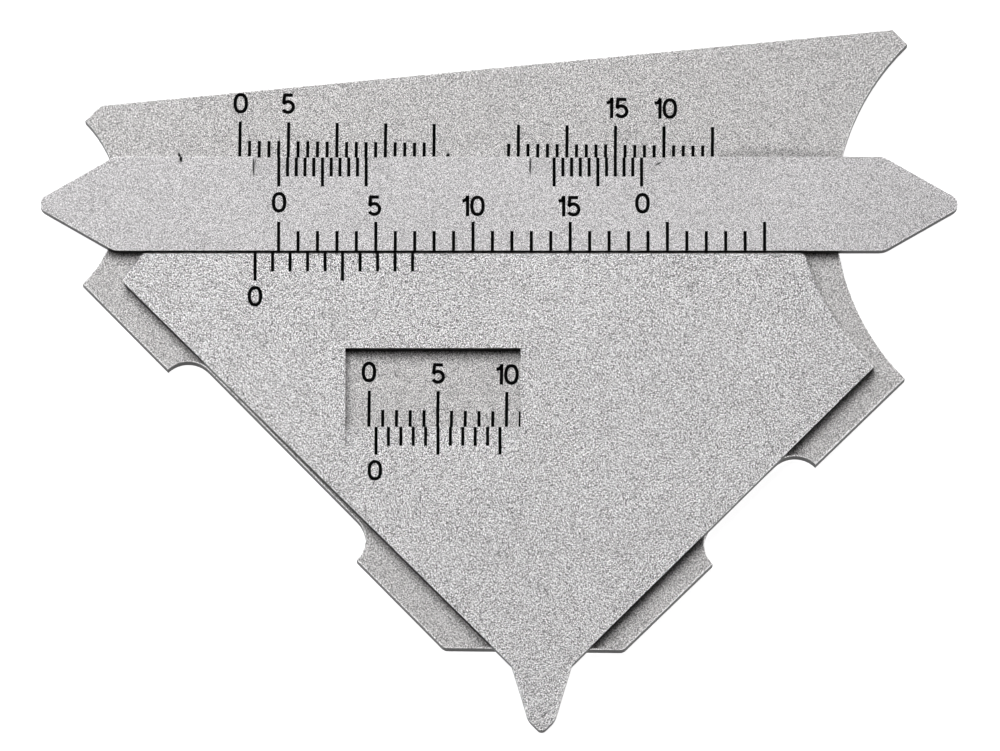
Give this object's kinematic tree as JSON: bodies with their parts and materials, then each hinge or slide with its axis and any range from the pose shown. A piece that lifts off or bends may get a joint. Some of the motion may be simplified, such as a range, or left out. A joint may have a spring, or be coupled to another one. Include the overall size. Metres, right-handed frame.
{
  "type": "weld gauge",
  "caption": "Flat steel weld gauge: a back plate with side notches and feet, a sliding pointed bar, and a sliding front plate with a window and a tongue.",
  "frame": {"origin": "centre of the outline, in the plane of the rear face that it lies on", "axes": "+X along the measuring bar towards its right point, +Y up the plates, +Z out of the scales"},
  "size_m": [0.0944, 0.0736, 0.004],
  "materials": {
    "back_steel": "satin",
    "slide_steel": "satin",
    "stud_steel": "turned",
    "spring_steel": "polished",
    "screw_steel": "turned",
    "mark_paint": "matt fill"
  },
  "bodies": {
    "back_plate": {"back_plate": "back_steel"},
    "measuring_bar": {"measuring_bar": "slide_steel", "bar_left_stud": "stud_steel", "bar_left_disc_spring": "spring_steel", "bar_left_screw": "screw_steel", "bar_right_stud": "stud_steel", "bar_right_disc_spring": "spring_steel", "bar_right_screw": "screw_steel"},
    "front_plate": {"front_plate": "slide_steel", "front_left_stud": "stud_steel", "front_left_disc_spring": "spring_steel", "front_left_screw": "screw_steel", "front_right_stud": "stud_steel", "front_right_disc_spring": "spring_steel", "front_right_screw": "screw_steel", "front_lower_stud": "stud_steel", "front_lower_disc_spring": "spring_steel", "front_lower_screw": "screw_steel"}
  },
  "joints": [
    {"name": "bar_slide", "type": "slide", "parent": "back_plate", "child": "measuring_bar", "axis": [1, 0, 0], "range_m": [-0.01375, 0.0159]},
    {"name": "front_slide", "type": "slide", "parent": "back_plate", "child": "front_plate", "axis": [1, 0, 0], "range_m": [-0.00049, 0.01365]}
  ]
}
